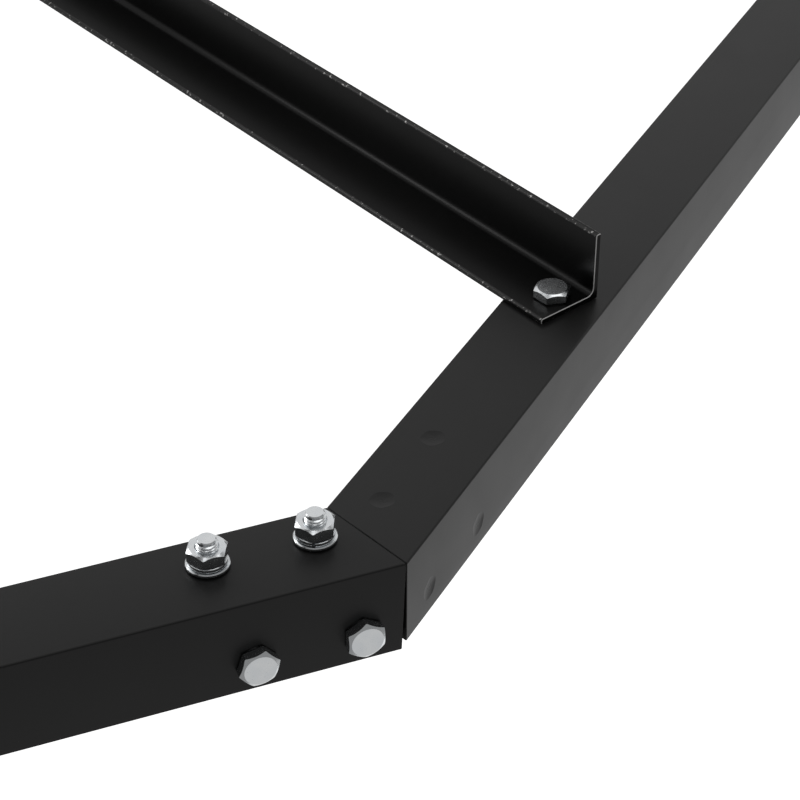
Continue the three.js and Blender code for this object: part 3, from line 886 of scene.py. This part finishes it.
def row_tree():
    """Sets one part on every point, facing along the point's own direction and turned by its twist."""
    tree = bpy.data.node_groups.new("row of parts", "GeometryNodeTree")
    for name, kind in (("Points", "NodeSocketGeometry"), ("Part", "NodeSocketObject"),
                       ("Size", "NodeSocketFloat"), ("Finish", "NodeSocketMaterial")):
        tree.interface.new_socket(name, in_out="INPUT", socket_type=kind)
    tree.interface.new_socket("Row", in_out="OUTPUT", socket_type="NodeSocketGeometry")

    def node(kind, settings=None, **values):
        made = tree.nodes.new(kind)
        for name, value in (settings or {}).items():
            setattr(made, name, value)
        for name, value in values.items():
            socket = made.inputs[name.replace("_", " ")]
            if isinstance(value, bpy.types.NodeSocket):
                tree.links.new(value, socket)
            else:
                socket.default_value = value
        return made
    given = node("NodeGroupInput").outputs
    part = node("GeometryNodeObjectInfo", Object=given["Part"])
    facing = node("GeometryNodeInputNamedAttribute", {"data_type": "FLOAT_VECTOR"}, Name="facing")
    twist = node("GeometryNodeInputNamedAttribute", {"data_type": "FLOAT"}, Name="twist")
    aim = node("FunctionNodeAlignRotationToVector", {"axis": "Z"}, Vector=facing.outputs["Attribute"])
    spin = node("FunctionNodeAxisAngleToRotation", Axis=(0, 0, 1), Angle=twist.outputs["Attribute"])
    turn = node("FunctionNodeRotateRotation", {"rotation_space": "LOCAL"},
                Rotation=aim.outputs[0], Rotate_By=spin.outputs[0])
    rows = node("GeometryNodeInstanceOnPoints", Points=given["Points"], Instance=part.outputs["Geometry"],
                Rotation=turn.outputs[0], Scale=given["Size"])
    real = node("GeometryNodeRealizeInstances", Geometry=rows.outputs[0])
    coat = node("GeometryNodeSetMaterial", Geometry=real.outputs[0], Material=given["Finish"])
    tree.links.new(coat.outputs[0], node("NodeGroupOutput").inputs["Row"])
    return tree


ROW = row_tree()


def row(name, part, seats, finish, nodes=(), sharp=CRISP):
    """Seats are (place, facing, twist in degrees). The result is one plain mesh."""
    mesh = bpy.data.meshes.new(name)
    mesh.from_pydata([tuple(place) for place, _, _ in seats], [], [])
    facing = mesh.attributes.new("facing", "FLOAT_VECTOR", "POINT")
    facing.data.foreach_set("vector", [c for _, out, _ in seats for c in out])
    twist = mesh.attributes.new("twist", "FLOAT", "POINT")
    twist.data.foreach_set("value", [math.radians(angle) for _, _, angle in seats])
    obj = bpy.data.objects.new(name + "_seats", mesh)
    bpy.context.scene.collection.objects.link(obj)
    maker = obj.modifiers.new("row", "NODES")
    maker.node_group = ROW
    sockets = {item.name: item.identifier for item in ROW.interface.items_tree if item.in_out == "INPUT"}
    maker[sockets["Part"]] = part
    maker[sockets["Size"]] = 1.0
    maker[sockets["Finish"]] = finish
    return settle(baked(obj, name), finish, nodes, sharp)


def weld_bead(name, outline, z, place, up):
    """Ripples laid round the foot of a tube; up is the side of the plate that they lie on."""
    spacing = 1.5
    seats = []
    count = len(outline)
    for i in range(count):
        start = Vector(outline[i])
        end = Vector(outline[(i + 1) % count])
        steps = max(1, round((end - start).length / spacing))
        side_way = (end - start).normalized()
        for k in range(steps):
            x, y = start.lerp(end, k / steps)
            lean = Vector((side_way.y, -side_way.x, up))
            here = place((x, y, z))
            out = (place((x + lean.x, y + lean.y, z + lean.z)) - here).normalized()
            seats.append((here, out, random.uniform(-25, 25)))
    row(name, RIPPLE, seats, COAT, sharp=50)


RIPPLE = weld_lump()


# ---- Where the fasteners sit ----

def direction(place, spot, way):
    """A direction of a side frame in the rack, at a spot."""
    here = place(spot)
    return (place(tuple(Vector(spot) + Vector(way))) - here).normalized()


def fasteners():
    """The seats of every fastener of the rack, in one list for each kind."""
    side_seats, top_seats, angle_seats, strut_seats, plate_seats, foot_seats = [], [], [], [], [], []
    for side in SIDES:
        place = side_place(side)
        outboard = direction(place, (0, 0, 0), (0, 1, 0))
        up = Vector((0, 0, 1))
        for x, twist in zip(SIDE_BOLTS, SIDE_TWISTS):
            side_seats.append((place((x, TUBE + GAP, -SIDE_BOLT_DOWN)), outboard, twist))
        for x, twist in zip(TOP_BOLTS, TOP_TWISTS):
            top_seats.append((place((x, TOP_BOLT_IN, GAP)), up, twist))
        for seats, (x, z), twist in (
                (strut_seats, on_strut(BOLT_FROM_END), STRUT_TWIST),
                (angle_seats, on_strut(STRUT_LENGTH - BOLT_FROM_END), 12),
                (angle_seats, (POST_X, -KNEE_RAIL_DROP - KNEE_REACH), 41),
                (angle_seats, (POST_X + KNEE_REACH, -KNEE_RAIL_DROP), 25)):
            seats.append((place((x, -ANGLE_WALL - 2 * GAP, z)), -outboard, twist))
        plate_top = BASE_TOP + PLATE + 2 * GAP
        post_bolts = POST_X + POST_PLATE / 2 - PLATE_BOLT_IN
        for x, twist in ((KICKER_FOOT_BOLT_X, 10), (KICKER_REAR_BOLT_X, 33), (post_bolts, 5),
                         (2 * POST_X - post_bolts, 48)):
            foot_seats.append((place((x, TUBE / 2, plate_top)), up, twist))
        plate_seats.append((place((post_bolts, TUBE / 2, -TUBE + WALL + GAP)), up, 20))
    bars = []
    for name, x in CROSSBARS.items():
        for side in SIDES:
            y = CORNER_AT.y / MM + TUBE / 2
            spot = crossbar_place(x, SIDES[side])((0, y, STOP_THICKNESS + 2 * GAP))
            bars.append((spot, Vector((0, 0, 1)), 17 * len(bars)))
    return side_seats, top_seats, strut_seats, angle_seats, foot_seats, plate_seats, bars


def both(*stems):
    return [f"{stem}_{side}" for stem in stems for side in SIDES]


def hang(seats, grip, nut_turns, spring_turns):
    """The nut, spring washer and flat washer under a row of bolts."""
    flat = grip + GAP
    spring = flat + FLAT_THICKNESS + LEVEL_GAP
    nut = spring + SPRING_THICKNESS + LEVEL_GAP
    lower = [[(place - out * level * MM, out, twist + turns[i % len(turns)])
              for i, (place, out, twist) in enumerate(seats)]
             for level, turns in ((flat, (0,)), (spring, spring_turns), (nut, nut_turns))]
    return lower, nut + NUT + PROUD


def bolt_up(stem, seats, grip, bolt_nodes, nut_nodes=(), spring_nodes=(), flat_nodes=(),
            nut_turns=(11, 37, 3), spring_turns=(200, 75, 310)):
    (flats, springs, nuts), length = hang(seats, grip, nut_turns, spring_turns)
    bolt = hex_bolt(length)
    row(f"{stem}_bolts", bolt, seats, ZINC, bolt_nodes)
    row(f"{stem}_flat_washers", FLAT, flats, ZINC, flat_nodes)
    row(f"{stem}_spring_washers", SPRING, springs, ZINC, spring_nodes)
    row(f"{stem}_nuts", HEXNUT, nuts, ZINC, nut_nodes)
    bpy.data.objects.remove(bolt)


FLAT = flat_washer()
SPRING = spring_washer()
HEXNUT = hex_nut()


def bolt_the_rack():
    sides, tops, struts, angles, feet, plates, bars = fasteners()
    bolt_up("joint_side", sides, TUBE + 2 * GAP,
            ["joint_side_bolt_1_left", "joint_side_bolt_2_left",
             "joint_side_bolt_set_1_right", "joint_side_bolt_set_2_right"],
            ["joint_nut_1_left", "joint_nut_2_left"],
            ["joint_spring_washer_1_left", "joint_spring_washer_2_left"],
            ["joint_flat_washer_1_left", "joint_flat_washer_2_left"], SIDE_NUT_TURNS, SIDE_SPRING_TURNS)
    short = hex_bolt(WALL + NUT + 7, 12)
    row("joint_top_bolts", short, tops, ZINC, both("joint_top_bolt_1", "joint_top_bolt_2"))
    bpy.data.objects.remove(short)
    bolt_up("strut_upper", struts, ANGLE_WALL + KICKER_DEPTH + 2 * GAP, both("strut_upper_bolt_set"))
    bolt_up("angle", angles, ANGLE_WALL + TUBE + 2 * GAP,
            both("strut_lower_bolt_set", "knee_lower_bolt_set", "knee_upper_bolt_set"))
    grip = PLATE + WALL + 2 * GAP
    bolt_up("foot", feet, grip, both("kicker_foot_bolt_set", "post_foot_bolt_set"))
    bolt_up("post_top", plates, grip + GAP, both("post_top_bolt_set"))
    plain = [seat for i, seat in enumerate(bars) if i // 2 != 1]
    through_plate = [seat for i, seat in enumerate(bars) if i // 2 == 1]
    grip = STOP_THICKNESS + 2 * TUBE + 4 * GAP
    bolt_up("crossbar", plain, grip, both("crossbar_bolt_set_rear", "crossbar_bolt_set_front"))
    bolt_up("crossbar_middle", through_plate, grip + PLATE + GAP, both("crossbar_bolt_set_middle"))


# ---- The rack ----

for side in SIDES:
    rail(side)
    kicker(side)
    kicker_foot(side)
    base(side)
    post(side)
    strut(side)
    knee(side)
    side_caps(side)
    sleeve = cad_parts[f"joint_sleeve_{side}"]
    sleeve.data.materials.clear()
    sleeve.data.materials.append(MILL)
for name, x in CROSSBARS.items():
    crossbar(name, x)
    for side in SIDES:
        stop(name, x, side)
        crossbar_cap(name, x, side)
bolt_the_rack()
for spare in (FLAT, SPRING, HEXNUT, RIPPLE):
    bpy.data.objects.remove(spare)

# ---- Camera: it looks down on the inboard face of the left joint ----

LENS = 107.0
PITCH_DOWN = math.radians(36.27)
RAIL_HEADING = math.radians(201.83)    # of the rail, from the camera's right
ROLL = math.radians(0.25)
CORNER_DISTANCE = 1.0408
CORNER_OFF_AXIS = (0.00283, 0.06885)   # right of and below the line of sight, per metre


def camera():
    cos, sin = math.cos(PITCH_DOWN), math.sin(PITCH_DOWN)
    forward = Vector((0, cos, -sin))
    level = Vector((1, 0, 0))
    above = Vector((0, sin, cos))
    right = level * math.cos(ROLL) + above * math.sin(ROLL)
    up = above * math.cos(ROLL) - level * math.sin(ROLL)
    rail_way = Vector((math.cos(RAIL_HEADING), math.sin(RAIL_HEADING), 0))
    down_way = Vector((math.sin(RAIL_HEADING), -math.cos(RAIL_HEADING), 0))

    def rack_way(v):
        return Vector((v.dot(rail_way), -v.z, -v.dot(down_way)))
    off_right, off_below = CORNER_OFF_AXIS
    to_corner = (right * off_right - up * off_below + forward) * CORNER_DISTANCE
    data = bpy.data.cameras.new("camera")
    data.lens = LENS
    data.sensor_width = 36
    data.clip_start = 0.01
    data.clip_end = 200
    obj = bpy.data.objects.new("camera", data)
    turn = Matrix([rack_way(right), rack_way(up), rack_way(-forward)]).transposed()
    obj.matrix_world = Matrix.Translation(CORNER_AT - rack_way(to_corner)) @ turn.to_4x4()
    bpy.context.scene.collection.objects.link(obj)
    bpy.context.scene.camera = obj


# ---- Studio ----

BACKDROP = 1.0                   # brightness of the white beyond the floor
ROOM = 0.28                      # brightness that the rest of the room lends to the rack
PAPER_SEEN = 0.88                # the paper's own glow, as seen
PAPER_LENT = 0.50                # and as it lights the rack


def panel(name, at, target, size, radiance, tint=(1, 1, 1)):
    """A soft panel of the given brightness, hidden from the camera."""
    data = bpy.data.lights.new(name, "AREA")
    data.shape = "RECTANGLE"
    data.size, data.size_y = size
    data.energy = radiance * math.pi * size[0] * size[1]
    data.color = tint
    obj = bpy.data.objects.new(name, data)
    obj.location = at
    obj.rotation_euler = (Vector(target) - Vector(at)).to_track_quat("-Z", "Y").to_euler()
    obj.visible_camera = False
    bpy.context.scene.collection.objects.link(obj)


def studio():
    """Soft panels round the joint, in a dim grey room whose backdrop is white."""
    joint = CORNER_AT
    panel("rear panel", (joint.x - 2.1, joint.y + 1.6, 0.55), joint, (2.2, 1.0), 0.36)
    panel("sky panel", (joint.x - 0.8, joint.y + 1.7, 2.5), joint, (3.4, 3.0), 0.33)
    panel("key panel", (joint.x - 0.5, joint.y - 3.2, 1.5), joint, (3.6, 1.2), 1.25)
    panel("low panel", (0.1, 0.2, 0.03), (0.1, 0.2, 1.0), (0.6, 0.4), 5.0)
    world = bpy.data.worlds.new("studio")
    world.use_nodes = True
    tree = world.node_tree
    tree.nodes.clear()
    path = tree.nodes.new("ShaderNodeLightPath")
    seen = tree.nodes.new("ShaderNodeBackground")
    seen.inputs["Strength"].default_value = BACKDROP
    lit = tree.nodes.new("ShaderNodeBackground")
    lit.inputs["Strength"].default_value = ROOM
    for background in (seen, lit):
        background.inputs["Color"].default_value = (1, 1, 1, 1)
    mix = tree.nodes.new("ShaderNodeMixShader")
    out = tree.nodes.new("ShaderNodeOutputWorld")
    tree.links.new(path.outputs["Is Camera Ray"], mix.inputs[0])
    tree.links.new(lit.outputs[0], mix.inputs[1])
    tree.links.new(seen.outputs[0], mix.inputs[2])
    tree.links.new(mix.outputs[0], out.inputs[0])
    bpy.context.scene.world = world


def paper_floor():
    """Pale paper under the rack, bright enough to lose its horizon."""
    sheet = Sheet("pale paper")
    cloud = sheet.noise(1.5)
    colour = sheet.blend(cloud, grey(0.72), grey(0.76))
    paper = sheet.node("ShaderNodeBsdfDiffuse", None, {"Color": colour})
    glow = sheet.node("ShaderNodeEmission", None, {"Color": grey(1.0), "Strength": PAPER_SEEN})
    bounce = sheet.node("ShaderNodeEmission", None, {"Color": grey(1.0), "Strength": PAPER_LENT})
    seen = sheet.node("ShaderNodeLightPath", output="Is Camera Ray")
    extra = sheet.node("ShaderNodeMixShader", None, {0: seen, 1: bounce, 2: glow})
    whole = sheet.node("ShaderNodeAddShader", None, {0: paper, 1: extra})
    sheet.node("ShaderNodeOutputMaterial", None, {"Surface": whole})
    bm = bmesh.new()
    bmesh.ops.create_circle(bm, cap_ends=True, radius=60, segments=96)
    mesh = bpy.data.meshes.new("floor")
    bm.to_mesh(mesh)
    bm.free()
    mesh.materials.append(sheet.material)
    floor = bpy.data.objects.new("floor", mesh)
    bpy.context.scene.collection.objects.link(floor)


camera()
studio()
paper_floor()
bpy.context.scene.view_settings.view_transform = "Standard"
